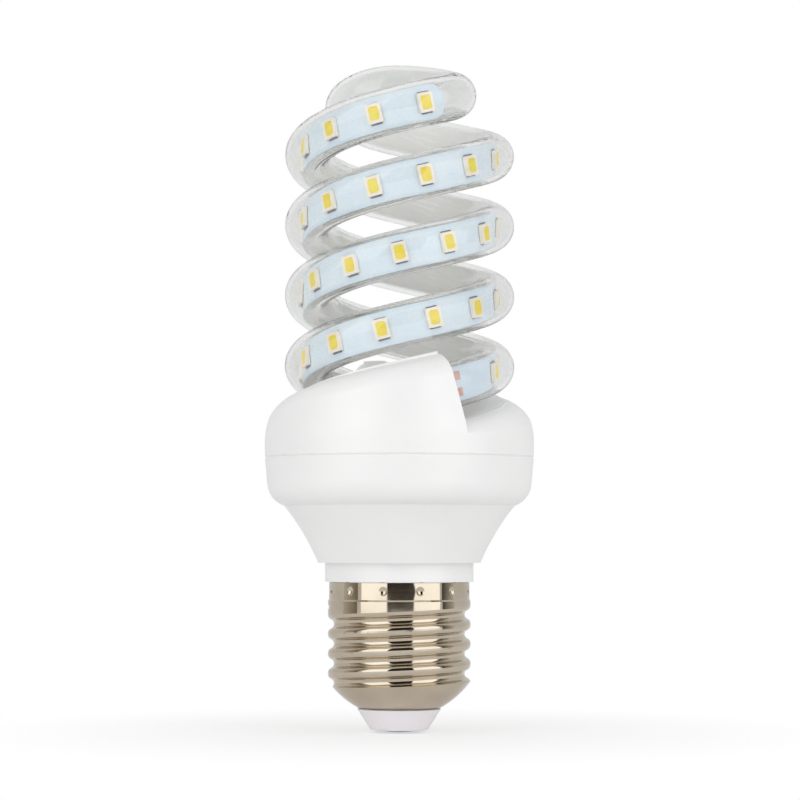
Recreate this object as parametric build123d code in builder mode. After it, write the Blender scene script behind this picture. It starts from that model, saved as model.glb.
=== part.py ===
from build123d import *
import os
from math import atan2, cos, degrees, pi, radians, sin, tan

# Spiral LED bulb. Lengths are in millimetres, angles in degrees, +Z is up.
# The origin is the middle of the contact's face, the lowest point of the bulb.
# Azimuths run anticlockwise seen from above, with the front of the bulb at 270.

# Screw cap, size E27
crest_radius = 13.15
band_radius = 12.95
band_low_z = 24.0
band_taper = 0.3
thread_pitch = 3.629
thread_depth = 1.09
thread_crest_flat = 0.3
thread_phase_z = 21.49  # height of a groove's middle at azimuth 0
thread_top_z = 22.2
thread_low_z = 6.9
thread_fade_angle = 70
shell_wall = 0.3
shell_top_z = 27.4
shell_round_z = 9.2
shell_round_middle = (10.6, 6.4)  # radius and height halfway round the end
shell_end_z = 4.2
shell_hole_radius = 7.4
shell_seam_azimuth = 8
crimp_count = 12
crimp_azimuth = 17
crimp_z = 25.9
crimp_ball_radius = 1.2
crimp_depth = 0.35

# Insulator and contact
insulator_face_z = 0.3
insulator_face_radius = 5.3
insulator_top_z = 8.0
insulator_flange_radius = 9.1
insulator_flange_rise = 1.3
insulator_lip = 0.3
insulator_edge_radius = 0.25
contact_radius = 3.7
contact_flat_radius = 2.0
contact_thickness = 0.8
contact_pin_radius = 1.0
contact_pin_top_z = 9.0
fit_gap = 0.1

# Lower housing
housing_wall = 1.6
neck_radius = 13.7
neck_bottom_z = 27.5
collar_z = 31.0
collar_radius = 15.0
waist_z = 36.0
waist_radius = 17.5
crease_drop = 8.9  # below the seam
crease_radius = 21.3
bowl_drop = 5.0  # the bowl's edge lies this far below the seam
bowl_inset = 0.47  # and this far inside it
seam_z = 50.4
body_radius = 24.87
seam_chamfer = 0.25
spigot_wall = 1.4
spigot_gap = 0.2
spigot_bottom_z = 24.7
tongue_height = 2.4
tongue_wall = 1.1
tongue_root_depth = 0.05

# Upper housing: a dome cut by two spiral ramps, each with a step that holds one end of the tube
shoulder_rise = 3.0  # above the seam
shoulder_bend_radius = 12.0
dome_draft = 16.6
dome_top_z = 71.5
ramp_low_z = 56.5
ramp_azimuth = 298.7
ramp_lean = 7.0
ramp_edge_radius = 5.0
ramp_edge_crease = 6  # angle left between the rounding and its neighbours
boss_radius = 8.0
boss_top_z = 64.0
pit_radius = 8.5  # a little wider than the boss, where the ramps pass above it
cutter_margin = 5.0

# Glass tube: two arms that rise as one double helix and cross over the axis in an S
coil_radius = 17.05
lead = 26.1
tube_radius = 4.2
tube_wall = 0.75
coil_mid_z = 67.2  # height of the first arm's centre line at azimuth 360
tube_end_azimuth = 272.0
cross_azimuth = 999.0
crest_angle = 50.0
socket_gap = 0.4
socket_back_angle = 4
socket_front_angle = 12
cement_start_azimuth = 288.5
cement_end_azimuth = 296.0
cement_gap = 0.05

# LED strips
strip_width = 6.2
strip_thickness = 0.25
strip_face_offset = 0.75  # outward from the tube's centre line
strip_start_azimuth = 278.0
strip_end_azimuth = 1016.5
strip_end_radius = 2.6
led_length = 2.8
led_width = 3.5
led_height = 0.75
led_corner_radius = 0.18
led_rim = 0.48
led_cup_depth = 0.45
led_cup_taper = 12
led_solder = 0.06
led_fill_drop = 0.05
led_fill_gap = 0.02
strip_leds = {"a": (342.0, 28.8, 24), "b": (351.2, 29.6, 23)}  # first azimuth, step, count

# Driver board
board_thickness = 1.2
board_half_width = 12.0
board_tail_half_width = 10.0
board_top_z = 48.0
board_tail_z = 15.0
board_holes = ((-9.0, 35.5), (9.5, 45.0))
board_hole_radius = 0.6
slot_gap = 0.15
slot_block_half_width = 1.9
slot_grip = 0.9

# Components: places are (x, z) on the board, sizes (length, width, height), leads (count on a side, pitch)
pin_radius = 0.3
pin_bend = 0.7
pin_bury = 0.3
chip_standoff = 0.1
chip_chamfer = 0.25
chip_foot = 0.8
chip_lead_width = 0.42
chip_lead_thickness = 0.25
driver_chip_place = (5, 41)
driver_chip_size = (4.9, 3.9, 1.5)
driver_chip_leads = (4, 1.27)
bridge_place = (5, 36)
bridge_size = (4.7, 3.8, 2.3)
bridge_leads = (2, 2.54)
can_radius = 4.0
can_low_z = 34.2
can_high_z = 46.0
can_x = -3.0
can_bead_rise = 0.9
can_bead_height = 1.0
can_bead_depth = 0.35
can_edge_radius = 0.5
can_pin_spread = 1.75
can_pin_drop = 1.3
film_z = 22.5
film_size = (9.0, 8.0, 3.8)
film_edge_radius = 0.7
choke_place = (-4.6, 38.5)
choke_radius = 4.2
choke_core_radius = 1.8
choke_height = 7.0
choke_flange = 1.1
choke_winding_inset = 0.5
fuse_x = 6.0
fuse_low_z = 19.0
fuse_high_z = 27.0
fuse_radius = 1.4
fuse_edge_radius = 0.5
fuse_pin_reach = 1.8

# Wires
wire_radius = 0.55
wire_bend = 1.6
live_x = 2.4
live_heights = (11.6, 13.8, 18.0)  # end of the straight run, landing on the board, end
neutral_x = -7.4
neutral_heights = (11.0, 14.6, 17.6, 21.0)  # foot, first bend, landing on the board, end
lead_columns = ((-8.6, 1.4), (-6.6, -1.4))  # place across the board, offset up from the tube's centre line
lead_heights = (44.6, 50.5)  # foot, first bend
lead_shelf = (-11.5, 56.0)  # y and z where a lead turns towards the tube
lead_mouth_reach = 8.4
lead_bend = 2.4
lead_end_angle = 2.5  # before the strip's end

slope = lead / (2 * pi * coil_radius)
turn_radius = coil_radius / 2
turn_angle = 180 - crest_angle
socket_radius = tube_radius + socket_gap
ramp_rise = lead / 2
crease_z = seam_z - crease_drop
bowl_z = seam_z - bowl_drop
bowl_radius = body_radius - bowl_inset
shoulder_z = seam_z + shoulder_rise


def polar(azimuth, radius, z=0.0):
    """Point at an azimuth and a radius from the bulb's axis."""
    return Vector(radius * cos(radians(azimuth)), radius * sin(radians(azimuth)), z)


def coil_z(azimuth):
    """Height of the first arm's centre line at an azimuth."""
    return coil_mid_z + lead * (azimuth - 360) / 360


cross_start = polar(cross_azimuth, coil_radius, coil_z(cross_azimuth))
turn_centre = polar(cross_azimuth, turn_radius, cross_start.Z)


def spiral(radius, start, end, start_z, pitch, centre=None, cone=0.0):
    """Right-hand helix between two azimuths about the bulb's axis, or about a centre beside it."""
    middle = centre or Vector(0, 0, 0)
    rise = pitch * (end - start) / 360
    line = Helix(pitch, rise, radius, center=(middle.X, middle.Y, start_z), cone_angle=cone, mode=Mode.PRIVATE)
    return line.rotate(Axis((middle.X, middle.Y, 0), (0, 0, 1)), start)


def arm_frame(azimuth, offset):
    """Plane on the first arm, offset outward: x runs along the arm, z points outward.

    Past the crossing azimuth the arm turns inward on half its radius, at the same length per degree.
    """
    if azimuth <= cross_azimuth:
        outward = polar(azimuth, 1)
        origin = polar(azimuth, coil_radius + offset, coil_z(azimuth))
    else:
        outward = polar(cross_azimuth + 2 * (azimuth - cross_azimuth), 1)
        origin = turn_centre + outward * (turn_radius + offset)
        origin += Vector(0, 0, coil_z(azimuth) - cross_start.Z)
    along = Vector(-outward.Y, outward.X, slope)
    return Plane(origin=origin, x_dir=along, z_dir=outward)


def section_plane(path, azimuth, lean=0.0):
    """Plane at the start of a spiral, x outward and y up, leaning back by an angle."""
    ahead = polar(azimuth + 90, cos(radians(lean)), sin(radians(lean)))
    return Plane(origin=path @ 0, x_dir=polar(azimuth, 1), z_dir=-ahead)


def wire_run(points, radius=wire_radius, bend=wire_bend):
    """Round wire along straight runs joined by arcs. Not called inside a part's block."""
    route = FilletPolyline(*points, radius=bend)
    with BuildPart() as run:
        with BuildSketch(Plane(origin=route @ 0, z_dir=route % 0)):
            Circle(radius)
        sweep(path=route)
    return run.part


def finish(builder, name):
    """Label a finished piece and write it."""
    builder.part.label = name
    export_step(builder.part, f"parts/{name}.step")


os.makedirs("parts", exist_ok=True)

# Centre contact: a domed head in the insulator's face, with a pin that carries the live wire
with BuildPart() as centre_contact:
    with BuildSketch(Plane.XZ):
        with BuildLine():
            head_arc = TangentArc((contact_flat_radius, 0), (contact_radius, contact_thickness / 2),
                                  tangent=(1, 0))
            Polyline(head_arc @ 1, (contact_radius, contact_thickness),
                     (contact_pin_radius, contact_thickness), (contact_pin_radius, contact_pin_top_z),
                     (0, contact_pin_top_z), (0, 0), head_arc @ 0)
        make_face()
    revolve(axis=Axis.Z)
finish(centre_contact, "centre_contact")

# Insulator: a cone below the shell's rolled end and a flange above it
with BuildPart() as cap_insulator:
    insulator_neck_radius = shell_hole_radius - fit_gap
    with BuildSketch(Plane.XZ):
        with BuildLine():
            Polyline((0, insulator_face_z), (insulator_face_radius, insulator_face_z),
                     (shell_hole_radius + insulator_lip, shell_end_z - fit_gap),
                     (insulator_neck_radius, shell_end_z - fit_gap),
                     (insulator_neck_radius, shell_end_z + shell_wall + 2 * fit_gap),
                     (insulator_flange_radius, shell_end_z + shell_wall + insulator_flange_rise),
                     (insulator_flange_radius, insulator_top_z), (0, insulator_top_z), (0, insulator_face_z))
        make_face()
    revolve(axis=Axis.Z)
    Cylinder(contact_radius + fit_gap, contact_thickness, align=(Align.CENTER, Align.CENTER, Align.MIN),
             mode=Mode.SUBTRACT)
    Cylinder(contact_pin_radius + fit_gap / 2, insulator_top_z, align=(Align.CENTER, Align.CENTER, Align.MIN),
             mode=Mode.SUBTRACT)
    fillet(cap_insulator.faces().sort_by(Axis.Z)[0].outer_wire().edges(), insulator_edge_radius)
finish(cap_insulator, "cap_insulator")


def shell_body(inset):
    """Revolved body of the screw shell, without thread, inset all round by a thickness."""
    shift = inset * cos(radians(45))
    with BuildPart() as body:
        with BuildSketch(Plane.XZ):
            with BuildLine():
                end_line = Line((0, shell_end_z + inset), (shell_hole_radius, shell_end_z + inset))
                round_line = ThreePointArc(end_line @ 1,
                                           (shell_round_middle[0] - shift, shell_round_middle[1] + shift),
                                           (crest_radius - inset, shell_round_z + inset))
                Polyline(round_line @ 1, (crest_radius - inset, band_low_z),
                         (band_radius - inset, band_low_z + band_taper), (band_radius - inset, shell_top_z),
                         (0, shell_top_z), end_line @ 0)
            make_face()
        revolve(axis=Axis.Z)
    return body.part.rotate(Axis.Z, shell_seam_azimuth)


def thread_groove(inset):
    """Cutter for the rolled groove, whose wave keeps its shape at any depth below the skin."""
    half = (thread_pitch - thread_crest_flat) / 2
    wave_radius = (half**2 + thread_depth**2) / (4 * thread_depth)
    crest = Vector(-wave_radius, half)
    root = Vector(wave_radius - thread_depth, 0)
    joint = crest + (root - crest) * ((wave_radius - inset) / (2 * wave_radius))
    low_azimuth = 360 * (thread_low_z - thread_phase_z) / thread_pitch
    high_azimuth = 360 * (thread_top_z - thread_phase_z) / thread_pitch
    main = spiral(crest_radius, low_azimuth, high_azimuth, thread_low_z, thread_pitch)
    fade_rise = thread_pitch * thread_fade_angle / 360
    fade_cone = degrees(atan2(thread_depth, fade_rise))
    fade = spiral(crest_radius, high_azimuth, high_azimuth + thread_fade_angle, thread_top_z, thread_pitch,
                  cone=fade_cone)
    parts = []
    for path, azimuth in ((main, low_azimuth), (fade, high_azimuth)):
        with BuildPart() as cutter:
            with BuildSketch(section_plane(path, azimuth)):
                with BuildLine():
                    top_arc = TangentArc((-inset, half), (joint.X, joint.Y), tangent=(0, -1))
                    ThreePointArc(top_arc @ 1, (-thread_depth - inset, 0), (joint.X, -joint.Y))
                    low_arc = TangentArc((-inset, -half), (joint.X, -joint.Y), tangent=(0, 1))
                    Polyline(low_arc @ 0, (thread_depth, -half), (thread_depth, half), top_arc @ 0)
                make_face()
            sweep(path=path, is_frenet=True)
        parts.append(cutter.part)
    return parts


# Screw shell: thin rolled sheet, so the thread, the rounded end and the dimples show inside too
crimp_radius = band_radius + crimp_ball_radius - crimp_depth
shell_skin, shell_lining = shell_body(0), shell_body(shell_wall)
skin_grooves, lining_grooves = thread_groove(0), thread_groove(shell_wall)
with BuildPart() as shell_space:
    add(shell_lining)
    for groove in lining_grooves:
        add(groove, mode=Mode.SUBTRACT)
    with Locations((0, 0, crimp_z)):
        with PolarLocations(crimp_radius, crimp_count, crimp_azimuth):
            Sphere(crimp_ball_radius + shell_wall, mode=Mode.SUBTRACT)
with BuildPart() as cap_shell:
    add(shell_skin)
    for groove in skin_grooves:
        add(groove, mode=Mode.SUBTRACT)
    with Locations((0, 0, crimp_z)):
        with PolarLocations(crimp_radius, crimp_count, crimp_azimuth):
            Sphere(crimp_ball_radius, mode=Mode.SUBTRACT)
    add(shell_space.part, mode=Mode.SUBTRACT)
    Cylinder(shell_hole_radius, 4 * shell_end_z, mode=Mode.SUBTRACT)
finish(cap_shell, "cap_shell")


def lower_outline():
    """Half outline of the lower housing, from the neck's foot up to the seam."""
    with BuildLine() as outline:
        neck_line = Polyline((0, neck_bottom_z), (neck_radius, neck_bottom_z), (neck_radius, collar_z),
                             (collar_radius, collar_z))
        waist_line = ThreePointArc(neck_line @ 1, (waist_radius, waist_z), (crease_radius, crease_z))
        bowl_taper = (-bowl_inset, -bowl_drop)
        bowl_line = TangentArc((bowl_radius, bowl_z), waist_line @ 1, tangent=bowl_taper)
        Polyline(bowl_line @ 0, (body_radius, seam_z), (0, seam_z), neck_line @ 0)
    return outline


# Lower housing: an even shell, with a spigot for the cap, a tongue for the dome and slots for the board
with BuildPart() as lower_housing:
    with BuildSketch(Plane.XZ):
        add(lower_outline().line)
        make_face()
    revolve(axis=Axis.Z)
    rim = lower_housing.edges().filter_by(GeomType.CIRCLE).group_by(Axis.Z)[-1]
    chamfer(rim, seam_chamfer)
    ends = lower_housing.faces().filter_by(Axis.Z).sort_by(Axis.Z)
    offset(amount=-housing_wall, openings=[ends[0], ends[-1]])
    spigot_radius = band_radius - shell_wall - spigot_gap
    tongue_root_radius = body_radius - housing_wall + tongue_root_depth
    tongue_radius = body_radius - housing_wall - fit_gap
    with BuildSketch(Plane.XZ):
        with BuildLine():
            Polyline((spigot_radius - spigot_wall, spigot_bottom_z), (spigot_radius, spigot_bottom_z),
                     (spigot_radius, collar_z + housing_wall),
                     (spigot_radius - spigot_wall, collar_z + housing_wall), close=True)
        make_face()
        with BuildLine():
            Polyline((tongue_radius, seam_z + tongue_height), (tongue_radius, seam_z - tongue_height / 2),
                     (tongue_root_radius, seam_z - tongue_height / 2),
                     (tongue_root_radius, seam_z - 2 * tongue_height),
                     (tongue_radius - tongue_wall, seam_z - tongue_height),
                     (tongue_radius - tongue_wall, seam_z + tongue_height), close=True)
        make_face()
    revolve(axis=Axis.Z)
    slot_half = board_thickness / 2 + slot_gap
    block_length = spigot_radius - board_tail_half_width + slot_grip - spigot_wall / 2
    with PolarLocations(board_tail_half_width - slot_grip, 2):
        with Locations((0, 0, spigot_bottom_z)):
            Box(block_length, 2 * slot_block_half_width, collar_z + housing_wall - spigot_bottom_z,
                align=(Align.MIN, Align.CENTER, Align.MIN))
            Box(slot_grip + slot_gap, 2 * slot_half, collar_z + housing_wall - spigot_bottom_z,
                align=(Align.MIN, Align.CENTER, Align.MIN), mode=Mode.SUBTRACT)
    with Locations((0, 0, crimp_z)):
        with PolarLocations(crimp_radius, crimp_count, crimp_azimuth):
            Sphere(crimp_ball_radius + shell_wall + spigot_gap, mode=Mode.SUBTRACT)
finish(lower_housing, "lower_housing")


def dome_body(inset):
    """Revolved body of the dome, without ramps, inset from its skin by a thickness."""
    with BuildPart() as body:
        with BuildSketch(Plane.XZ):
            with BuildLine():
                skirt_line = Line((body_radius - inset, seam_z), (body_radius - inset, shoulder_z))
                bend_line = JernArc(skirt_line @ 1, (0, 1), shoulder_bend_radius - inset, dome_draft)
                rise = dome_top_z - (bend_line @ 1).Y
                side_line = Line(bend_line @ 1, bend_line @ 1 + Vector(-rise * tan(radians(dome_draft)), rise))
                Polyline(side_line @ 1, (0, dome_top_z), (0, seam_z), skirt_line @ 0)
            make_face()
        revolve(axis=Axis.Z)
    return body.part


def ramp_cutter(inset):
    """Space above one spiral ramp, grown by a thickness below its floor and behind its step."""
    lead_in = inset / radians(1) / coil_radius
    start = ramp_azimuth - lead_in
    floor_z = ramp_low_z - inset - lead * lead_in / 360
    path = spiral(coil_radius, start, start + 180 + lead_in, floor_z, lead)
    inner = boss_radius - inset - coil_radius
    outer = body_radius - coil_radius + cutter_margin
    top = ramp_rise + cutter_margin
    with BuildPart() as cutter:
        with BuildSketch(section_plane(path, start, ramp_lean)):
            with BuildLine():
                Polyline((inner, 0), (outer, 0), (outer, top), (inner, top), close=True)
            make_face()
        sweep(path=path, is_frenet=True)
    return cutter.part


def edge_cutter(inset):
    """Space outside the rounding between one ramp's floor and the dome's side, at any depth below the skin."""
    draft = radians(dome_draft)
    lead_in = inset / radians(1) / coil_radius
    start = ramp_azimuth - lead_in
    floor_z = ramp_low_z - inset - lead * lead_in / 360
    bend_top_z = shoulder_z + shoulder_bend_radius * sin(draft)
    bend_top_radius = body_radius - shoulder_bend_radius * (1 - cos(draft))
    side_radius = bend_top_radius - (floor_z - bend_top_z) * tan(draft) - inset / cos(draft)
    path = spiral(side_radius, start, start + 180 + lead_in, floor_z, lead, cone=-dome_draft)
    reach = (ramp_edge_radius - inset) / tan((radians(90) + draft) / 2)
    low = (reach * sin(draft), -reach * cos(draft))
    crease = radians(ramp_edge_crease)
    with BuildPart() as cutter:
        with BuildSketch(section_plane(path, start, ramp_lean)):
            with BuildLine():
                arc = TangentArc((-reach, 0), low, tangent=(cos(crease), -sin(crease)))
                Polyline(arc @ 1, (cutter_margin, low[1]), (cutter_margin, ramp_rise + cutter_margin),
                         (-reach, ramp_rise + cutter_margin), arc @ 0)
            make_face()
        sweep(path=path, is_frenet=True)
    return cutter.part


# Upper housing: a thin dome whose two ramps and steps keep the wall's thickness all round
dome_skin, dome_lining = dome_body(0), dome_body(housing_wall)
skin_cutters = [make(0).rotate(Axis.Z, turn) for make in (ramp_cutter, edge_cutter) for turn in (0, 180)]
lining_cutters = [make(housing_wall).rotate(Axis.Z, turn) for make in (ramp_cutter, edge_cutter)
                  for turn in (0, 180)]
socket_azimuth = tube_end_azimuth - socket_back_angle
socket_path = spiral(coil_radius, socket_azimuth, ramp_azimuth + socket_front_angle,
                     coil_z(socket_azimuth), lead)
with BuildPart() as socket_space:
    with BuildSketch(Plane(origin=socket_path @ 0, z_dir=socket_path % 0)):
        Circle(socket_radius)
    sweep(path=socket_path)

with BuildPart() as dome_space:
    add(dome_lining)
    for cutter in lining_cutters:
        add(cutter, mode=Mode.SUBTRACT)
    with Locations((0, 0, boss_top_z - housing_wall)):
        Cylinder(pit_radius + housing_wall, dome_top_z, align=(Align.CENTER, Align.CENTER, Align.MIN),
                 mode=Mode.SUBTRACT)

with BuildPart() as upper_housing:
    add(dome_skin)
    rim = upper_housing.edges().filter_by(GeomType.CIRCLE).group_by(Axis.Z)[0]
    chamfer(rim, seam_chamfer)
    for cutter in skin_cutters:
        add(cutter, mode=Mode.SUBTRACT)
    with Locations((0, 0, boss_top_z)):
        Cylinder(pit_radius, dome_top_z, align=(Align.CENTER, Align.CENTER, Align.MIN), mode=Mode.SUBTRACT)
    add(dome_space.part, mode=Mode.SUBTRACT)
    for turn in (0, 180):
        add(socket_space.part.rotate(Axis.Z, turn), mode=Mode.SUBTRACT)
finish(upper_housing, "upper_housing")


# Glass: a ring swept up one arm to the axis, and the same arm turned half a turn about the axis
coil_path = spiral(coil_radius, tube_end_azimuth, cross_azimuth, coil_z(tube_end_azimuth), lead)
turn_path = spiral(turn_radius, cross_azimuth, cross_azimuth + turn_angle, cross_start.Z, lead / 2, turn_centre)
crest_z = (turn_path @ 1).Z + slope * radians(crest_angle) * turn_radius / 2
crest_path = Spline(turn_path @ 1, (0, 0, crest_z),
                    tangents=[turn_path % 1, polar(cross_azimuth - 90, 1)])
arm_path = Wire([coil_path, turn_path, crest_path])
with BuildPart() as spiral_tube:
    with BuildSketch(Plane(origin=arm_path @ 0, z_dir=arm_path % 0)):
        Circle(tube_radius)
        Circle(tube_radius - tube_wall, mode=Mode.SUBTRACT)
    sweep(path=arm_path)
    add(spiral_tube.part.rotate(Axis.Z, 180))
finish(spiral_tube, "spiral_tube")

# Cement: a collar round each end of the tube, in its socket
cement_path = spiral(coil_radius, cement_start_azimuth, cement_end_azimuth, coil_z(cement_start_azimuth), lead)
with BuildPart() as tube_cement_a:
    with BuildSketch(Plane(origin=cement_path @ 0, z_dir=cement_path % 0)):
        Circle(socket_radius - cement_gap)
        Circle(tube_radius + cement_gap, mode=Mode.SUBTRACT)
    sweep(path=cement_path)
finish(tube_cement_a, "tube_cement_a")
with BuildPart() as tube_cement_b:
    add(tube_cement_a.part.rotate(Axis.Z, 180))
finish(tube_cement_b, "tube_cement_b")

# Strips: thin tape on edge in each arm, facing outward, rounded where it ends at the top
tape_offset = strip_face_offset - strip_thickness / 2
tape_radius = coil_radius + tape_offset
tape_turn_radius = turn_radius + tape_offset
tape_turn_end = cross_azimuth + 2 * (strip_end_azimuth - cross_azimuth)
tape_path = spiral(tape_radius, strip_start_azimuth, cross_azimuth, coil_z(strip_start_azimuth), lead)
tape_turn_path = spiral(tape_turn_radius, cross_azimuth, tape_turn_end, cross_start.Z,
                        lead * tape_turn_radius / tape_radius, turn_centre)
strip_path = Wire([tape_path, tape_turn_path])
with BuildPart() as led_strip_a:
    with BuildSketch(Plane(origin=strip_path @ 0, x_dir=polar(strip_start_azimuth, 1), z_dir=strip_path % 0)):
        Rectangle(strip_thickness, strip_width)
    sweep(path=strip_path, is_frenet=True)
    with BuildSketch(arm_frame(strip_end_azimuth, tape_offset)):
        Rectangle(2 * strip_end_radius, 2 * strip_width)
        with Locations((-2 * strip_end_radius, 0)):
            RectangleRounded(4 * strip_end_radius, strip_width, strip_end_radius, mode=Mode.SUBTRACT)
    extrude(amount=strip_end_radius / 2, both=True, mode=Mode.SUBTRACT)
finish(led_strip_a, "led_strip_a")
with BuildPart() as led_strip_b:
    add(led_strip_a.part.rotate(Axis.Z, 180))
finish(led_strip_b, "led_strip_b")

# Diodes: a moulded frame with a tapered cup, and the phosphor that fills the cup
with BuildPart() as led_package:
    Box(led_length, led_width, led_height, align=(Align.CENTER, Align.CENTER, Align.MIN))
    fillet(led_package.edges().filter_by(Axis.Z), led_corner_radius)
    with BuildSketch(led_package.faces().sort_by(Axis.Z)[-1]):
        RectangleRounded(led_length - 2 * led_rim, led_width - 2 * led_rim, led_rim)
    extrude(amount=-led_cup_depth, taper=led_cup_taper, mode=Mode.SUBTRACT)
with BuildPart() as led_fill:
    with BuildSketch(Plane.XY.offset(led_height - led_fill_drop)):
        fill_inset = 2 * (led_rim + led_fill_gap)
        RectangleRounded(led_length - fill_inset, led_width - fill_inset, led_rim)
    extrude(amount=led_fill_drop + led_fill_gap - led_cup_depth, taper=led_cup_taper)

for arm, turn in (("a", 0), ("b", 180)):
    first, step, count = strip_leds[arm]
    places = [arm_frame(first + step * index, strip_face_offset + led_solder).location
              for index in range(count)]
    for name, piece in (("packages", led_package.part), ("phosphor", led_fill.part)):
        with BuildPart() as group:
            with Locations(*places):
                add(piece)
        with BuildPart() as turned:
            add(group.part.rotate(Axis.Z, turn))
        finish(turned, f"led_{name}_{arm}")

# Driver board: upright, its shoulders on the lower housing's floor and its tail in the slots
shoulder_seat_z = collar_z + housing_wall + slot_gap / 2
with BuildPart() as driver_board:
    with BuildSketch(Plane.XZ):
        with BuildLine():
            Polyline((-board_tail_half_width, board_tail_z), (board_tail_half_width, board_tail_z),
                     (board_tail_half_width, shoulder_seat_z), (board_half_width, shoulder_seat_z),
                     (board_half_width, board_top_z), (-board_half_width, board_top_z),
                     (-board_half_width, shoulder_seat_z), (-board_tail_half_width, shoulder_seat_z),
                     close=True)
        make_face()
        with Locations(*board_holes):
            Circle(board_hole_radius, mode=Mode.SUBTRACT)
    extrude(amount=board_thickness / 2, both=True)
finish(driver_board, "driver_board")

board_back = Plane(origin=(0, board_thickness / 2, 0), x_dir=(-1, 0, 0), z_dir=(0, 1, 0))
board_front = Plane(origin=(0, -board_thickness / 2, 0), x_dir=(1, 0, 0), z_dir=(0, -1, 0))


def chip(plane, place, size, leads):
    """Moulded package on a face of the board, with bent leads down both sides."""
    length, width, height = size
    lead_count, lead_pitch = leads
    with BuildPart(plane) as body:
        with Locations((place[0], place[1], chip_standoff)):
            Box(length, width, height, align=(Align.CENTER, Align.CENTER, Align.MIN))
        chamfer(body.faces().sort_by(plane.location.z_axis)[-1].edges(), chip_chamfer)
        with Locations((place[0], place[1], 0)):
            with GridLocations(lead_pitch, width + chip_foot, lead_count, 2):
                Box(chip_lead_width, chip_foot, chip_lead_thickness,
                    align=(Align.CENTER, Align.CENTER, Align.MIN))
            with GridLocations(lead_pitch, width + chip_lead_thickness, lead_count, 2):
                Box(chip_lead_width, chip_lead_thickness, height / 2 + chip_standoff,
                    align=(Align.CENTER, Align.CENTER, Align.MIN))
    return body


finish(chip(board_front, driver_chip_place, driver_chip_size, driver_chip_leads), "driver_chip")
finish(chip(board_front, bridge_place, bridge_size, bridge_leads), "bridge_rectifier")

# Smoothing capacitor: a beaded can lying along the board, its leads bent to the board
can_y = board_thickness / 2 + fit_gap + can_radius
can_pin_z = can_low_z - can_pin_drop
can_pins = [wire_run([(can_x + side, can_y, can_low_z + pin_bury), (can_x + side, can_y, can_pin_z),
                      (can_x + side, board_thickness / 2, can_pin_z)], pin_radius, pin_bend)
            for side in (-can_pin_spread, can_pin_spread)]
bead_z = can_low_z + can_bead_rise
with BuildPart() as smoothing_capacitor:
    with BuildSketch(Plane(origin=(can_x, can_y, 0), x_dir=(1, 0, 0), z_dir=(0, -1, 0))):
        with BuildLine():
            foot_line = Polyline((0, can_low_z), (can_radius, can_low_z), (can_radius, bead_z))
            bead_line = ThreePointArc(foot_line @ 1, (can_radius - can_bead_depth, bead_z + can_bead_height / 2),
                                      (can_radius, bead_z + can_bead_height))
            Polyline(bead_line @ 1, (can_radius, can_high_z), (0, can_high_z), foot_line @ 0)
        make_face()
    revolve(axis=Axis((can_x, can_y, 0), (0, 0, 1)))
    fillet(smoothing_capacitor.edges().group_by(Axis.Z)[-1], can_edge_radius)
    for pin in can_pins:
        add(pin)
finish(smoothing_capacitor, "smoothing_capacitor")

# Film capacitor: a dipped block flat against the board's tail
with BuildPart(board_front) as film_capacitor:
    with Locations((0, film_z, 0)):
        Box(*film_size, align=(Align.CENTER, Align.CENTER, Align.MIN))
    fillet(film_capacitor.edges(), film_edge_radius)
finish(film_capacitor, "film_capacitor")

# Choke: a drum core against the board and its copper winding
with BuildPart(board_front) as choke_core:
    with Locations(choke_place):
        Cylinder(choke_core_radius, choke_height, align=(Align.CENTER, Align.CENTER, Align.MIN))
        Cylinder(choke_radius, choke_flange, align=(Align.CENTER, Align.CENTER, Align.MIN))
    with Locations((*choke_place, choke_height - choke_flange)):
        Cylinder(choke_radius, choke_flange, align=(Align.CENTER, Align.CENTER, Align.MIN))
finish(choke_core, "choke_core")
with BuildPart(board_front) as choke_winding:
    with Locations((*choke_place, choke_flange + fit_gap / 2)):
        Cylinder(choke_radius - choke_winding_inset, choke_height - 2 * choke_flange - fit_gap,
                 align=(Align.CENTER, Align.CENTER, Align.MIN))
        Cylinder(choke_core_radius + fit_gap / 2, choke_height, align=(Align.CENTER, Align.CENTER, Align.MIN),
                 mode=Mode.SUBTRACT)
finish(choke_winding, "choke_winding")

# Fuse resistor: a small barrel with a lead at each end, bent to the board
fuse_y = board_thickness / 2 + fuse_radius + fit_gap
fuse_pins = []
for side, end_z in ((-1, fuse_low_z), (1, fuse_high_z)):
    bend_z = end_z + side * fuse_pin_reach
    points = [(fuse_x, fuse_y, end_z - side * pin_bury), (fuse_x, fuse_y, bend_z),
              (fuse_x, board_thickness / 2, bend_z)]
    fuse_pins.append(wire_run(points, pin_radius, pin_bend))
with BuildPart() as fuse_resistor:
    with Locations((fuse_x, fuse_y, fuse_low_z)):
        Cylinder(fuse_radius, fuse_high_z - fuse_low_z, align=(Align.CENTER, Align.CENTER, Align.MIN))
    fillet(fuse_resistor.edges().filter_by(GeomType.CIRCLE), fuse_edge_radius)
    for pin in fuse_pins:
        add(pin)
finish(fuse_resistor, "fuse_resistor")

# Wires: contact to board, shell to board, and a pair from the board into each end of the tube
wire_y = board_thickness / 2 + wire_radius + fit_gap / 2
rise_z, landing_z, end_z = live_heights
live_run = wire_run([(0, 0, contact_pin_top_z), (0, 0, rise_z), (live_x, wire_y, landing_z),
                     (live_x, wire_y, end_z)])
with BuildPart() as live_wire:
    add(live_run)
finish(live_wire, "live_wire")

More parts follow.
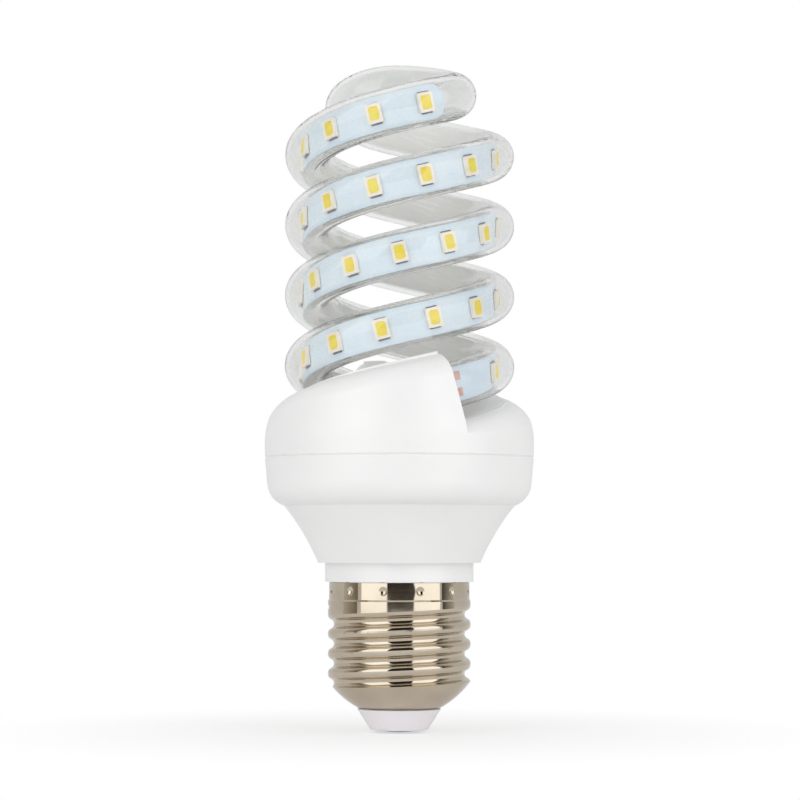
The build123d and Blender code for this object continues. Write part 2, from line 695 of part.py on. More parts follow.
foot_z, rise_z, landing_z, end_z = neutral_heights
foot_x = -(crest_radius - thread_depth - shell_wall - wire_radius - fit_gap)
neutral_run = wire_run([(foot_x, wire_y / 2, foot_z), (foot_x, wire_y, rise_z), (neutral_x, wire_y, landing_z),
                        (neutral_x, wire_y, end_z)])
with BuildPart() as neutral_wire:
    add(neutral_run)
finish(neutral_wire, "neutral_wire")

foot_z, rise_z = lead_heights
lead_end_azimuth = strip_start_azimuth - lead_end_angle
lead_runs = []
for lead_x, offset_z in lead_columns:
    goal = polar(lead_end_azimuth, coil_radius + strip_face_offset / 2, coil_z(lead_end_azimuth) + offset_z)
    mouth = goal - Vector(1, 0, slope) * lead_mouth_reach
    points = [(lead_x, -wire_y, foot_z), (lead_x, -wire_y, rise_z), (lead_x, *lead_shelf), mouth, goal]
    lead_runs.append(wire_run(points, bend=lead_bend))
for arm, turn in (("a", 0), ("b", 180)):
    with BuildPart() as strip_leads:
        for run in lead_runs:
            add(run.rotate(Axis.Z, turn))
    finish(strip_leads, f"strip_leads_{arm}")
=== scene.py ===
"""Looks of a spiral LED bulb: finishes, soldered details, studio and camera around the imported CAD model."""

import logging
import math
from dataclasses import dataclass, field
from enum import Enum
from typing import Any, Iterable

import bmesh
import bpy
from mathutils import Matrix, Vector


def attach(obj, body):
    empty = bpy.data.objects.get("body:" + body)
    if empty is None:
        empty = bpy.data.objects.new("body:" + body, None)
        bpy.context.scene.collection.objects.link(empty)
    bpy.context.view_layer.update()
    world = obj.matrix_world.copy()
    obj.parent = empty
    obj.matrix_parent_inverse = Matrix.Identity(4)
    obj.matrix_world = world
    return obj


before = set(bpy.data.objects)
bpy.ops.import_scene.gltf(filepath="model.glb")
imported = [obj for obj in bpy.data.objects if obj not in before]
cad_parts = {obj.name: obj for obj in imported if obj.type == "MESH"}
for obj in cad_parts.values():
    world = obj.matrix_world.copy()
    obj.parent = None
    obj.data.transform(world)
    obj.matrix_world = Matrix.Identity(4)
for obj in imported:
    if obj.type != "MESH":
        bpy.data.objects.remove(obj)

log = logging.getLogger("spiral_bulb")

MM = 0.001
"""One millimetre in the scene's metres."""

"""Where the boxes of the CAD model and of the dressed model are written."""

FRONT_AZIMUTH = 270.0
"""Azimuth of the side that faces the camera."""

SHARP_EDGE = 35.0
"""Angle in degrees from which an edge of a piece is shaded sharp."""


def linear(hex_colour: str) -> tuple[float, float, float, float]:
    """Turn an sRGB hex colour into a linear one.

    Args:
        hex_colour: Six hex digits, as in "F0F0EE".

    Returns:
        Red, green, blue and an alpha of 1.
    """
    channels = [int(hex_colour[i:i + 2], 16) / 255 for i in (0, 2, 4)]
    return (*(c / 12.92 if c <= 0.04045 else ((c + 0.055) / 1.055) ** 2.4 for c in channels), 1.0)


def add_node(tree: bpy.types.NodeTree, kind: str, inputs: dict[str | int, Any] | None = None,
             **settings: Any) -> bpy.types.Node:
    """Add a node with its settings, its constants and its links.

    Args:
        tree: The node tree that gets the node.
        kind: The node's type name.
        inputs: A socket to link from, or a constant, for each input by name or number.
        **settings: The node's own properties.

    Returns:
        The new node.
    """
    node = tree.nodes.new(kind)
    for name, value in settings.items():
        setattr(node, name, value)
    for name, value in (inputs or {}).items():
        if isinstance(value, bpy.types.NodeSocket):
            tree.links.new(value, node.inputs[name])
        else:
            node.inputs[name].default_value = value
    return node


class Grain(Enum):
    """Which way the fine marks on a surface run, as stretch factors along x, y and z."""

    EVEN = (1.0, 1.0, 1.0)
    ROUND_THE_AXIS = (0.06, 0.06, 1.0)


@dataclass(frozen=True)
class Finish:
    """A surface finish: what the material is made of and the marks that its making left.

    Lengths are in millimetres. The tone swings between the two colours in soft patches, and the grain
    gives the bump and the change in roughness.
    """

    name: str
    colour: str
    colour_far: str
    roughness: float
    roughness_swing: float = 0.05
    patch_mm: float = 8.0
    grain_mm: float = 0.3
    grain_detail: float = 4.0
    relief_mm: float = 0.004
    grain: Grain = Grain.EVEN
    metallic: float = 0.0
    ior: float = 1.5
    coat: float = 0.0
    transmission: float = 0.0
    subsurface: float = 0.0
    inner_colour: str = ""
    lets_light_in: float = 0.0
    patch_detail: float = 3.0
    patch_span: tuple[float, float] = (0.35, 0.65)
    grain_span: tuple[float, float] = (0.3, 0.7)

    def build(self) -> bpy.types.Material:
        """Make the material's node tree.

        Returns:
            The material.
        """
        material = bpy.data.materials.new(self.name)
        material.use_nodes = True
        tree = material.node_tree
        tree.nodes.clear()
        place = add_node(tree, "ShaderNodeTexCoord").outputs["Object"]
        stretched = add_node(tree, "ShaderNodeMapping", {"Vector": place, "Scale": self.grain.value})
        patches = add_node(tree, "ShaderNodeTexNoise",
                           {"Vector": place, "Scale": 1 / (self.patch_mm * MM), "Detail": self.patch_detail})
        grains = add_node(tree, "ShaderNodeTexNoise",
                          {"Vector": stretched.outputs[0], "Scale": 1 / (self.grain_mm * MM),
                           "Detail": self.grain_detail})
        tone = add_node(tree, "ShaderNodeValToRGB", {"Fac": patches.outputs["Fac"]})
        for stop, place_on_ramp, shade in zip(tone.color_ramp.elements, self.patch_span,
                                              (self.colour, self.colour_far)):
            stop.position = place_on_ramp
            stop.color = linear(shade)
        colour = tone.outputs["Color"]
        if self.inner_colour:
            colour = self.by_side(tree, place, colour)
        least, most = self.grain_span
        gloss = add_node(tree, "ShaderNodeMapRange",
                         {"Value": grains.outputs["Fac"], "From Min": least, "From Max": most,
                          "To Min": max(0.0, self.roughness - self.roughness_swing),
                          "To Max": self.roughness + self.roughness_swing})
        bump = add_node(tree, "ShaderNodeBump",
                        {"Height": grains.outputs["Fac"], "Distance": self.relief_mm * MM, "Strength": 1.0})
        shader = add_node(tree, "ShaderNodeBsdfPrincipled",
                          {"Base Color": colour, "Roughness": gloss.outputs["Result"],
                           "Normal": bump.outputs["Normal"], "Metallic": self.metallic,
                           "Transmission Weight": self.transmission, "Coat Weight": self.coat})
        if not self.metallic:
            shader.inputs["IOR"].default_value = self.ior
        if self.subsurface:
            shader.inputs["Subsurface Weight"].default_value = self.subsurface
            shader.inputs["Subsurface Scale"].default_value = MM
        surface = shader.outputs["BSDF"]
        if self.lets_light_in:
            surface = self.clear_to_lamps(tree, surface)
        add_node(tree, "ShaderNodeOutputMaterial", {"Surface": surface})
        return material

    def by_side(self, tree: bpy.types.NodeTree, place: bpy.types.NodeSocket,
                outer: bpy.types.NodeSocket) -> bpy.types.NodeSocket:
        """Colour the side that faces the bulb's axis apart from the outer one.

        Args:
            tree: The material's node tree.
            place: Object coordinates, whose z runs along the axis.
            outer: The outer side's colour.

        Returns:
            The colour of both sides.
        """
        normal = add_node(tree, "ShaderNodeNewGeometry").outputs["Normal"]
        spoke = add_node(tree, "ShaderNodeVectorMath", {0: place, 1: (1.0, 1.0, 0.0)}, operation="MULTIPLY")
        facing = add_node(tree, "ShaderNodeVectorMath", {0: normal, 1: spoke.outputs[0]},
                          operation="DOT_PRODUCT")
        inward = add_node(tree, "ShaderNodeMath", {0: facing.outputs["Value"], 1: 0.0}, operation="LESS_THAN")
        both = add_node(tree, "ShaderNodeMix",
                        {"Factor": inward.outputs[0], "A": outer, "B": linear(self.inner_colour)},
                        data_type="RGBA")
        return both.outputs["Result"]

    def clear_to_lamps(self, tree: bpy.types.NodeTree, glass: bpy.types.NodeSocket) -> bpy.types.NodeSocket:
        """Let the light that falls on things inside the glass pass straight through it.

        Args:
            tree: The material's node tree.
            glass: The shader that the eye sees.

        Returns:
            The same shader, clear to light on its way to a matt surface.
        """
        path = add_node(tree, "ShaderNodeLightPath")
        light = add_node(tree, "ShaderNodeMath", {0: path.outputs["Is Shadow Ray"],
                                                  1: path.outputs["Is Diffuse Ray"]}, operation="MAXIMUM")
        share = self.lets_light_in
        clear = add_node(tree, "ShaderNodeBsdfTransparent", {"Color": (share, share, share, 1.0)})
        return add_node(tree, "ShaderNodeMixShader", {0: light.outputs[0], 1: glass,
                                                      2: clear.outputs[0]}).outputs[0]


# Moulded, sintered and coated grains are finer than a pixel here, so each is drawn at 0.1 to 0.6 mm to show

# Clear soda-lime glass, drawn as tube and bent hot: wet-looking, grey in its thickness, with long soft waves
SODA_LIME_GLASS = Finish("drawn_soda_lime_glass", "EEEFEE", "E9EAE9", 0.0, 0.0, patch_mm=14, grain_mm=9,
                         grain_detail=0.5, relief_mm=0.03, ior=1.5, transmission=1.0, lets_light_in=1.0)
# White PBT, injection moulded in a spark-eroded mould: a soft satin with a very fine even grain
MOULDED_PBT = Finish("moulded_white_pbt", "F1F1F0", "EEEEEE", 0.42, 0.05, patch_mm=14, grain_mm=0.22,
                     relief_mm=0.002, ior=1.53, subsurface=0.05)
# Steel strip, thread-rolled and nickel-plated: a warm mirror with faint marks round the axis
PLATED_NICKEL = Finish("rolled_nickel_plate", "CBC0AF", "C4B8A5", 0.06, 0.005, patch_mm=6, grain_mm=0.6,
                       grain_detail=1.0, relief_mm=0.0003, grain=Grain.ROUND_THE_AXIS, metallic=1.0)
# White moulded insulator: a glossier plastic, a little violet under the white housing
MOULDED_INSULATOR = Finish("moulded_insulator", "F6F3F7", "F4F1F5", 0.3, 0.02, patch_mm=6, grain_mm=0.5,
                           grain_detail=2.0, relief_mm=0.0006, ior=1.5)
# Glass-epoxy tape under pale blue solder mask on its outer side, and bare and milky on its inner one
MASKED_TAPE = Finish("pale_blue_solder_mask", "E4F4FF", "DFF0FF", 0.33, 0.04, patch_mm=4, grain_mm=0.5,
                     relief_mm=0.002, ior=1.5, coat=0.15, inner_colour="FAFAF6")
# The same mask where it lies over copper: a shade lighter and smoother
MASKED_COPPER = Finish("mask_over_copper", "EAF7FF", "E5F4FF", 0.27, 0.04, patch_mm=3, grain_mm=0.4,
                       relief_mm=0.002, ior=1.5, coat=0.2)
# White PPA frames of the diodes, moulded: a warm white, satin
DIODE_FRAME = Finish("moulded_ppa_frame", "FFF8EA", "FDF2E0", 0.35, 0.05, patch_mm=1, grain_mm=0.12,
                     relief_mm=0.001, ior=1.55)
# Phosphor in clear silicone, dispensed: saturated yellow, smooth, a little deeper towards one side
PHOSPHOR = Finish("phosphor_silicone", "FFEC5C", "FFE03C", 0.3, 0.04, patch_mm=1.6, grain_mm=0.3,
                  grain_detail=1.0, relief_mm=0.001, ior=1.41, subsurface=0.1)
# Tin solder, reflowed: dull grey metal with a lumpy skin
SOLDER = Finish("reflowed_solder", "9A95A0", "837E8A", 0.38, 0.08, patch_mm=0.8, grain_mm=0.15,
                relief_mm=0.01, metallic=1.0)
# Bare copper pads, washed with flux: pinkish and soft
BARE_PAD = Finish("fluxed_copper_pad", "F0C4BA", "E6AFA2", 0.4, 0.08, patch_mm=0.8, grain_mm=0.2,
                  relief_mm=0.003, metallic=0.6)
# Ceramic cement, cast in place: chalky, off-white and grainy
CAST_CEMENT = Finish("cast_cement", "E2DFD6", "D2CEC2", 0.85, 0.06, patch_mm=1.5, grain_mm=0.25,
                     relief_mm=0.03)
# Glass-epoxy board under green solder mask
BOARD = Finish("green_solder_mask", "2F6B3C", "275C33", 0.35, 0.08, patch_mm=4, grain_mm=0.4, relief_mm=0.004,
               coat=0.2)
# Black epoxy of the moulded chips and the can's sleeve
BLACK_EPOXY = Finish("black_epoxy", "1C1C1D", "262627", 0.5, 0.08, patch_mm=2, grain_mm=0.15, relief_mm=0.006)
# Yellow dip coat of the film capacitor
DIPPED_YELLOW = Finish("dipped_yellow_coat", "D79B2A", "C98B1D", 0.25, 0.06, patch_mm=3, grain_mm=0.6,
                       relief_mm=0.01, coat=0.3)
# Sintered ferrite: dark grey and grainy
FERRITE = Finish("sintered_ferrite", "3A3A3D", "2E2E31", 0.6, 0.1, patch_mm=2, grain_mm=0.12, relief_mm=0.01)
# Enamelled copper wire, wound in rings
ENAMELLED_COPPER = Finish("enamelled_copper", "B5683A", "9C5227", 0.28, 0.06, patch_mm=1, grain_mm=0.2,
                          relief_mm=0.03, metallic=1.0)
# Green cement coat of the fuse resistor
RESISTOR_COAT = Finish("resistor_coat", "7FA79C", "6E978B", 0.5, 0.08, patch_mm=1.5, grain_mm=0.2,
                       relief_mm=0.01)
# Silicone rubber sleeves of the wires, extruded
RED_SLEEVE = Finish("red_silicone_sleeve", "B3231F", "9F1B18", 0.45, 0.06, patch_mm=3, grain_mm=0.2,
                    relief_mm=0.004)
BLACK_SLEEVE = Finish("black_silicone_sleeve", "242425", "1B1B1C", 0.45, 0.06, patch_mm=3, grain_mm=0.2,
                      relief_mm=0.004)
WHITE_SLEEVE = Finish("white_silicone_sleeve", "E8E8E4", "DEDEDA", 0.45, 0.06, patch_mm=3, grain_mm=0.2,
                      relief_mm=0.004)

NODE_FINISHES = {
    "spiral_tube": SODA_LIME_GLASS,
    "upper_housing": MOULDED_PBT, "lower_housing": MOULDED_PBT,
    "cap_shell": PLATED_NICKEL, "centre_contact": PLATED_NICKEL,
    "cap_insulator": MOULDED_INSULATOR,
    "led_strip_a": MASKED_TAPE, "led_strip_b": MASKED_TAPE,
    "led_packages_a": DIODE_FRAME, "led_packages_b": DIODE_FRAME,
    "led_phosphor_a": PHOSPHOR, "led_phosphor_b": PHOSPHOR,
    "tube_cement_a": CAST_CEMENT, "tube_cement_b": CAST_CEMENT,
    "driver_board": BOARD,
    "driver_chip": BLACK_EPOXY, "bridge_rectifier": BLACK_EPOXY, "smoothing_capacitor": BLACK_EPOXY,
    "film_capacitor": DIPPED_YELLOW, "choke_core": FERRITE, "choke_winding": ENAMELLED_COPPER,
    "fuse_resistor": RESISTOR_COAT,
    "live_wire": RED_SLEEVE, "neutral_wire": BLACK_SLEEVE,
    "strip_leads_a": WHITE_SLEEVE, "strip_leads_b": WHITE_SLEEVE,
}
"""The finish of each CAD node."""


class Workshop:
    """Builds each material once and makes mesh pieces that ride on the bulb."""

    def __init__(self) -> None:
        """Start with no material built."""
        self.materials: dict[str, bpy.types.Material] = {}

    def material(self, finish: Finish) -> bpy.types.Material:
        """Return the finish's material, built the first time it is asked for.

        Args:
            finish: The finish.

        Returns:
            Its material.
        """
        if finish.name not in self.materials:
            self.materials[finish.name] = finish.build()
        return self.materials[finish.name]

    def piece(self, name: str, mesh: bmesh.types.BMesh, finish: Finish, slot: str) -> bpy.types.Object:
        """Turn a mesh into a piece of the bulb.

        Args:
            name: The piece's name.
            mesh: Its faces, in metres, freed here.
            finish: Its finish.
            slot: Not used.

        Returns:
            The piece.
        """
        bmesh.ops.recalc_face_normals(mesh, faces=mesh.faces)
        data = bpy.data.meshes.new(name)
        mesh.to_mesh(data)
        mesh.free()
        data.polygons.foreach_set("use_smooth", [True] * len(data.polygons))
        data.set_sharp_from_angle(angle=math.radians(SHARP_EDGE))
        data.materials.append(self.material(finish))
        piece = bpy.data.objects.new(name, data)
        bpy.context.scene.collection.objects.link(piece)
        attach(piece, "root")
        log.info("piece %s: %d faces, %s", name, len(data.polygons), finish.name)
        return piece


def loft(mesh: bmesh.types.BMesh, rings: list[list[Vector]]) -> None:
    """Join rings of equal length into a closed body.

    Args:
        mesh: The mesh that gets the body.
        rings: The body's cross-sections in order, each a closed ring of points.
    """
    rows = [[mesh.verts.new(point) for point in ring] for ring in rings]
    for row, following in zip(rows, rows[1:]):
        for i in range(len(row)):
            j = (i + 1) % len(row)
            mesh.faces.new((row[i], row[j], following[j], following[i]))
    mesh.faces.new(rows[0][::-1])
    mesh.faces.new(rows[-1])


@dataclass(frozen=True)
class ArmLine:
    """Centre line of one arm of the glass, as the CAD model has it. Millimetres and degrees."""

    turned: float
    coil_radius: float = 17.05
    lead: float = 26.1
    middle_height: float = 67.2
    cross_azimuth: float = 999.0

    def place(self, azimuth: float, outward_mm: float) -> Matrix:
        """Frame on the strip's side of the arm.

        Args:
            azimuth: How far round the arm the frame is.
            outward_mm: How far it is from the centre line.

        Returns:
            A matrix whose x runs along the arm, y across it upward and z outward.
        """
        height = self.middle_height + self.lead * (azimuth - 360) / 360
        turn_radius = self.coil_radius / 2
        if azimuth <= self.cross_azimuth:
            angle = math.radians(azimuth)
            centre, radius = Vector((0, 0, height)), self.coil_radius
        else:
            crossing = math.radians(self.cross_azimuth)
            angle = crossing + 2 * math.radians(azimuth - self.cross_azimuth)
            centre = Vector((turn_radius * math.cos(crossing), turn_radius * math.sin(crossing), height))
            radius = turn_radius
        outward = Vector((math.cos(angle), math.sin(angle), 0))
        slope = self.lead / (2 * math.pi * self.coil_radius)
        along = Vector((-outward.y, outward.x, slope)).normalized()
        up = outward.cross(along)
        origin = (centre + outward * (radius + outward_mm)) * MM
        matrix = Matrix((along, up, outward)).transposed().to_4x4()
        matrix.translation = origin
        return Matrix.Rotation(math.radians(self.turned), 4, "Z") @ matrix


@dataclass
class SolderJoint:
    """Fillet of solder at one end of a diode. Sizes in millimetres, height from the strip's face.

    The fillet is lower at its two sides, by end_swell, and climbs the diode's end in a hollow curve.
    """

    width: float = 2.1
    foot: float = 1.2
    package_end: float = 1.755
    toe: float = 2.02
    under: float = 0.055
    climb: float = 0.42
    lip: float = 0.012
    hollow: float = 2.4
    end_swell: float = 0.35
    stations: int = 7
    curve_steps: int = 6

    def section(self, swell: float, side: int) -> list[tuple[float, float]]:
        """Across the strip: the points of one cross-section.

        Args:
            swell: How full the section is, from 0 to 1.
            side: 1 above the diode, -1 below it.

        Returns:
            Distance across the strip and height, point by point.
        """
        start = self.under * 0.5
        curve = []
        for i in range(self.curve_steps + 1):
            t = i / self.curve_steps
            reach = self.toe + (self.package_end - self.toe) * t
            height = start + (self.climb * swell - start) * t ** self.hollow
            curve.append((side * reach, max(height, self.lip)))
        return [(side * self.foot, 0.0), (side * self.toe, 0.0), *curve,
                (side * self.package_end, self.under), (side * self.foot, self.under)]

    def add(self, mesh: bmesh.types.BMesh, spot: Matrix, side: int) -> None:
        """Add the joint to a mesh.

        Args:
            mesh: The mesh that gets it.
            spot: The diode's frame on the strip's face.
            side: 1 above the diode, -1 below it.
        """
        rings = []
        for i in range(self.stations):
            t = 2 * i / (self.stations - 1) - 1
            swell = self.end_swell + (1 - self.end_swell) * math.sqrt(max(0.0, 1 - t ** 4))
            rings.append([spot @ (Vector((t * self.width / 2, y, z)) * MM)
                          for y, z in self.section(swell, side)])
        loft(mesh, rings)


@dataclass
class StripArm:
    """Everything that is soldered to or printed on the strip in one arm. Millimetres and degrees."""

    name: str
    line: ArmLine
    first_azimuth: float
    step: float
    count: int
    face_offset: float = 0.75
    foil: float = 0.03
    pad_width: float = 2.5
    plane_outer: float = 2.75
    plane_gap: float = 0.22
    lead_azimuth: float = 305.5
    lead_pad_inner: float = 0.7
    lead_pad_outer: float = 2.3
    lead_pad_half_length: float = 0.9
    ribbon_step: float = 2.0
    joint: SolderJoint = field(default_factory=SolderJoint)

    def spots(self) -> list[Matrix]:
        """Frames of the diodes on the strip's face."""
        return [self.line.place(self.first_azimuth + self.step * i, self.face_offset)
                for i in range(self.count)]

    def ribbon(self, mesh: bmesh.types.BMesh, span: tuple[float, float], low: float, high: float,
               thickness: float) -> None:
        """Add a flat ribbon on the strip's face.

        Args:
            mesh: The mesh that gets it.
            span: Its first and last azimuth.
            low: Its lower edge across the strip.
            high: Its upper edge across the strip.
            thickness: How far it stands off the face.
        """
        steps = max(2, round((span[1] - span[0]) / self.ribbon_step))
        rings = []
        for i in range(steps + 1):
            spot = self.line.place(span[0] + (span[1] - span[0]) * i / steps, self.face_offset)
            rings.append([spot @ (Vector((0, y, z)) * MM)
                          for y, z in ((low, 0.0), (high, 0.0), (high, thickness), (low, thickness))])
        loft(mesh, rings)

    def degrees_of(self, length: float) -> float:
        """Azimuth that a length along the strip takes up."""
        return math.degrees(length / (self.line.coil_radius + self.face_offset))

    def planes(self, shop: Workshop) -> None:
        """Copper planes under the mask: each joins one diode's upper pad to the next one's lower pad.

        Args:
            shop: The workshop that makes the piece.
        """
        mesh = bmesh.new()
        half_gap = self.plane_gap / 2
        clear = self.degrees_of(self.pad_width / 2 + self.plane_gap)
        edge = self.degrees_of(half_gap)
        for i in range(self.count - 1):
            here = self.first_azimuth + self.step * i
            middle = here + self.step / 2
            for span in ((here + clear, middle - edge), (middle + edge, here + self.step - clear)):
                self.ribbon(mesh, span, half_gap, self.plane_outer, self.foil / 2)
                self.ribbon(mesh, span, -self.plane_outer, -half_gap, self.foil / 2)
            self.ribbon(mesh, (middle - edge, middle + edge), half_gap, self.plane_outer, self.foil / 2)
        shop.piece(f"copper_planes_{self.name}", mesh, MASKED_COPPER, "strip_tape")

    def joints(self, shop: Workshop) -> None:
        """Solder fillets at both ends of every diode.

        Args:
            shop: The workshop that makes the piece.
        """
        mesh = bmesh.new()
        for spot in self.spots():
            for side in (-1, 1):
                self.joint.add(mesh, spot, side)
        shop.piece(f"solder_joints_{self.name}", mesh, SOLDER, "cap_metal")

    def pads(self, shop: Workshop) -> None:
        """Pads that the leads are soldered to, near the strip's lower end.

        Args:
            shop: The workshop that makes the piece.
        """
        mesh = bmesh.new()
        reach = self.degrees_of(self.lead_pad_half_length)
        span = (self.lead_azimuth - reach, self.lead_azimuth + reach)
        self.ribbon(mesh, span, self.lead_pad_inner, self.lead_pad_outer, self.foil)
        self.ribbon(mesh, span, -self.lead_pad_outer, -self.lead_pad_inner, self.foil)
        shop.piece(f"lead_pads_{self.name}", mesh, BARE_PAD, "copper")

    def build(self, shop: Workshop) -> None:
        """Make every piece on this strip.

        Args:
            shop: The workshop that makes the pieces.
        """
        self.planes(shop)
        self.joints(shop)
        self.pads(shop)


@dataclass
class CadDress:
    """The CAD nodes, each with its finish."""

    finishes: dict[str, Finish]

    def build(self, shop: Workshop) -> None:
        """Give every CAD node its finish.

        Args:
            shop: The workshop that makes the materials.
        """
        for name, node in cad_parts.items():
            for slot in node.material_slots:
                slot.material = shop.material(self.finishes[name])
            log.info("node %s: %s", name, self.finishes[name].name)


@dataclass(frozen=True)
class Card:
    """Upright studio card on a circle round the bulb, dark or glowing. Metres and degrees."""

    name: str
    azimuth: float
    distance: float
    width: float
    low: float
    high: float
    shade: str
    glow: float = 0.0
    far_shade: str = ""


@dataclass
class Studio:
    """Floor, surroundings, lamps and cards. Metres and degrees."""

    floor_radius: float = 1.6
    floor_sides: int = 96
    floor_drop: float = 0.0002
    floor_shade: str = "FAFAFA"
    floor_roughness: float = 0.9
    floor_fill: float = 0.6
    shadow_reach: float = 0.02
    fade_reach: float = 0.09
    lamp_distance: float = 0.75
    lamp_width: float = 0.62
    lamp_height: float = 0.95
    lamp_middle: float = 0.33
    lamp_aim: float = 0.06
    lamp_watts: float = 1.75
    lamp_turns: tuple[float, ...] = (-42.0, 46.5)
    surroundings: float = 0.70
    cards: tuple[Card, ...] = (
        Card("front_card", FRONT_AZIMUTH + 2, 0.80, 0.60, -0.1, 1.3, "2A2118"),
        Card("right_card", FRONT_AZIMUTH + 86, 0.55, 0.25, -0.05, 0.8, "231C13", far_shade="DDD8D0"),
        Card("left_card", FRONT_AZIMUTH - 86, 0.55, 0.30, -0.05, 0.8, "DDD8D0", far_shade="7D705C"),
        Card("left_reflector", FRONT_AZIMUTH - 42, 0.74, 0.60, -0.05, 0.85, "FFFFFF", 1.7),
        Card("right_reflector", FRONT_AZIMUTH + 46.5, 0.74, 0.62, -0.05, 0.85, "FFFFFF", 1.7),
    )

    def plain(self, name: str, shade: str, roughness: float) -> bpy.types.Material:
        """Plain studio paint.

        Args:
            name: The material's name.
            shade: Its colour in sRGB hex.
            roughness: Its roughness.

        Returns:
            The paint.
        """
        material = bpy.data.materials.new(name)
        material.use_nodes = True
        shader = material.node_tree.nodes["Principled BSDF"]
        shader.inputs["Base Color"].default_value = linear(shade)
        shader.inputs["Roughness"].default_value = roughness
        return material

    def graded(self, name: str, shade: str, far_shade: str, width: float) -> bpy.types.Material:
        """Matt paint that goes evenly from one shade to another.

        Args:
            name: The material's name.
            shade: The shade at the card's clockwise edge.
            far_shade: The shade at its other edge.
            width: The card's width.

        Returns:
            The paint.
        """
        material = self.plain(name, shade, 1.0)
        tree = material.node_tree
        across = add_node(tree, "ShaderNodeSeparateXYZ",
                          {"Vector": add_node(tree, "ShaderNodeTexCoord").outputs["Object"]}).outputs["X"]
        place = add_node(tree, "ShaderNodeMapRange",
                         {"Value": across, "From Min": -width / 2, "From Max": width / 2})
        mixed = add_node(tree, "ShaderNodeMix", {"Factor": place.outputs["Result"], "A": linear(shade),
                                                 "B": linear(far_shade)}, data_type="RGBA")
        tree.links.new(mixed.outputs["Result"], tree.nodes["Principled BSDF"].inputs["Base Color"])
        return material

    def glowing(self, name: str, strength: float) -> bpy.types.Material:
        """Evenly glowing white cloth.

        Args:
            name: The material's name.
            strength: How bright it is, where 1 is white.

        Returns:
            The cloth.
        """
        material = bpy.data.materials.new(name)
        material.use_nodes = True
        tree = material.node_tree
        tree.nodes.clear()
        glow = add_node(tree, "ShaderNodeEmission", {"Color": linear("FFFFFF"), "Strength": strength})
        add_node(tree, "ShaderNodeOutputMaterial", {"Surface": glow.outputs[0]})
        return material

    def seen(self, tree: bpy.types.NodeTree) -> bpy.types.NodeSocket:
        """Tell the rays that show the plain white background from the others.

        Args:
            tree: The node tree of the floor or the surroundings.

        Returns:
            1 for what the eye sees, straight or through glass, and 0 for light and mirror images.
        """
        path = add_node(tree, "ShaderNodeLightPath")
        direct = add_node(tree, "ShaderNodeMath",
                          {0: path.outputs["Is Camera Ray"], 1: path.outputs["Is Transmission Ray"]},
                          operation="MAXIMUM")
        return direct.outputs[0]

    def floor_paint(self) -> bpy.types.Material:
        """White paint that keeps the bulb's shadow and fades into the white background away from it.

        Returns:
            The paint.
        """
        material = self.plain("floor_paint", self.floor_shade, self.floor_roughness)
        tree = material.node_tree
        place = add_node(tree, "ShaderNodeTexCoord").outputs["Object"]
        away = add_node(tree, "ShaderNodeVectorMath", {0: place}, operation="LENGTH")
        fade = add_node(tree, "ShaderNodeMapRange",
                        {"Value": away.outputs["Value"], "From Min": self.shadow_reach,
                         "From Max": self.fade_reach, "To Min": self.floor_fill, "To Max": 1.0},
                        interpolation_type="SMOOTHSTEP")
        share = add_node(tree, "ShaderNodeMath", {0: fade.outputs["Result"], 1: self.seen(tree)},
                         operation="MULTIPLY")
        white = add_node(tree, "ShaderNodeEmission", {"Color": linear("FFFFFF"), "Strength": 1.0})
        mixed = add_node(tree, "ShaderNodeMixShader",
                         {0: share.outputs[0], 1: tree.nodes["Principled BSDF"].outputs[0],
                          2: white.outputs[0]})
        tree.links.new(mixed.outputs[0], tree.nodes["Material Output"].inputs["Surface"])
        return material

    def add_floor(self) -> None:
        """Pale round floor at the contact's height."""
        mesh = bmesh.new()
        bmesh.ops.create_circle(mesh, cap_ends=True, radius=self.floor_radius, segments=self.floor_sides)
        data = bpy.data.meshes.new("floor")
        mesh.to_mesh(data)
        mesh.free()
        data.materials.append(self.floor_paint())
        floor = bpy.data.objects.new("floor", data)
        floor.location.z = -self.floor_drop
        bpy.context.scene.collection.objects.link(floor)

    def add_card(self, card: Card) -> None:
        """Card that the metal and the glass reflect, out of the camera's sight.

        Args:
            card: The card's size, place and paint.
        """
        half = card.width / 2
        mesh = bmesh.new()
        corners = ((-half, card.low), (half, card.low), (half, card.high), (-half, card.high))
        mesh.faces.new([mesh.verts.new((x, 0, z)) for x, z in corners])
        data = bpy.data.meshes.new(card.name)
        mesh.to_mesh(data)
        mesh.free()
        if card.glow:
            paint = self.glowing(card.name + "_cloth", card.glow)
        elif card.far_shade:
            paint = self.graded(card.name + "_paint", card.shade, card.far_shade, card.width)
        else:
            paint = self.plain(card.name + "_paint", card.shade, 1.0)
        data.materials.append(paint)
        piece = bpy.data.objects.new(card.name, data)
        piece.visible_camera = False
        piece.visible_transmission = False
        angle = math.radians(card.azimuth)
        piece.location = (card.distance * math.cos(angle), card.distance * math.sin(angle), 0)
        piece.rotation_euler.z = angle + math.radians(90)
        piece.visible_diffuse = False
        piece.visible_shadow = False
        bpy.context.scene.collection.objects.link(piece)

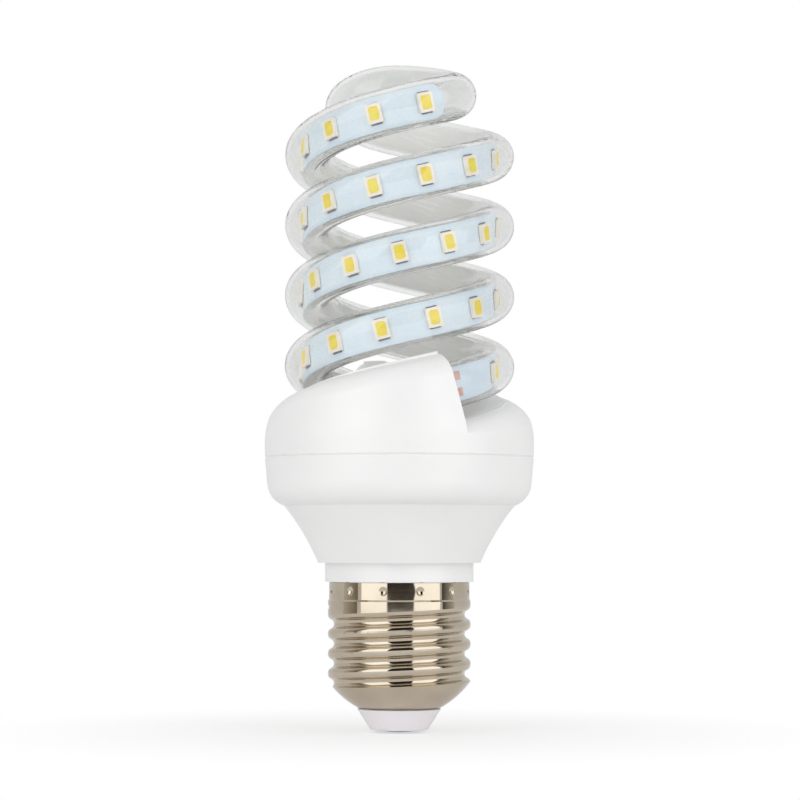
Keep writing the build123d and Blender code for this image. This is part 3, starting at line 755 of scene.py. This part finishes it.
    def add_lamp(self, name: str, azimuth: float) -> None:
        """Tall soft box beside the camera.

        Args:
            name: The lamp's name.
            azimuth: Where it stands round the bulb.
        """
        data = bpy.data.lights.new(name, "AREA")
        data.shape = "RECTANGLE"
        data.size = self.lamp_width
        data.size_y = self.lamp_height
        data.energy = self.lamp_watts
        lamp = bpy.data.objects.new(name, data)
        angle = math.radians(azimuth)
        lamp.location = (self.lamp_distance * math.cos(angle), self.lamp_distance * math.sin(angle),
                         self.lamp_middle)
        aim = Vector((0, 0, self.lamp_aim)) - lamp.location
        lamp.rotation_euler = aim.to_track_quat("-Z", "Y").to_euler()
        lamp.visible_camera = False
        lamp.visible_glossy = False
        lamp.visible_transmission = False
        bpy.context.scene.collection.objects.link(lamp)

    def add_surroundings(self) -> None:
        """White surroundings for what is seen and seen through, softer for light and mirror images."""
        world = bpy.data.worlds.new("white_room")
        bpy.context.scene.world = world
        world.use_nodes = True
        tree = world.node_tree
        tree.nodes.clear()
        strength = add_node(tree, "ShaderNodeMapRange",
                            {"Value": self.seen(tree), "To Min": self.surroundings, "To Max": 1.0})
        back = add_node(tree, "ShaderNodeBackground", {"Color": linear("FFFFFF"),
                                                       "Strength": strength.outputs["Result"]})
        add_node(tree, "ShaderNodeOutputWorld", {"Surface": back.outputs[0]})

    def build(self) -> None:
        """Set the whole studio up."""
        self.add_floor()
        for card in self.cards:
            self.add_card(card)
        for name, turn in zip(("left_soft_box", "right_soft_box"), self.lamp_turns):
            self.add_lamp(name, FRONT_AZIMUTH + turn)
        self.add_surroundings()
        bpy.context.scene.view_settings.view_transform = "Standard"
        log.info("studio: floor, %d cards, %d lamps", len(self.cards), len(self.lamp_turns))


@dataclass
class PhotoCamera:
    """Camera where the photograph was taken from. Metres and degrees."""

    distance: float = 0.543
    height: float = 0.0356
    sideways: float = 0.0001
    pitch: float = 2.685
    roll: float = 0.05
    lens_mm: float = 132.1
    sensor_mm: float = 36.0

    def build(self) -> None:
        """Place the camera."""
        data = bpy.data.cameras.new("photo_camera")
        data.lens = self.lens_mm
        data.sensor_width = self.sensor_mm
        camera = bpy.data.objects.new("photo_camera", data)
        turn = Matrix.Rotation(math.radians(90 + self.pitch), 4, "X") @ Matrix.Rotation(
            math.radians(self.roll), 4, "Z")
        camera.matrix_world = Matrix.Translation((self.sideways, -self.distance, self.height)) @ turn
        bpy.context.scene.collection.objects.link(camera)
        bpy.context.scene.camera = camera
        log.info("camera: %.0f mm lens, %.3f m away", self.lens_mm, self.distance)


def main() -> None:
    """Dress the bulb, build what is soldered in it, and set up the studio and the camera."""
    logging.basicConfig(level=logging.INFO, format="%(name)s: %(message)s")
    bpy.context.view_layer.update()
    shop = Workshop()
    CadDress(NODE_FINISHES).build(shop)
    StripArm("a", ArmLine(turned=0.0), first_azimuth=342.0, step=28.8, count=24).build(shop)
    StripArm("b", ArmLine(turned=180.0), first_azimuth=351.2, step=29.6, count=23).build(shop)
    Studio().build()
    PhotoCamera().build()


if __name__ == "__main__":
    main()
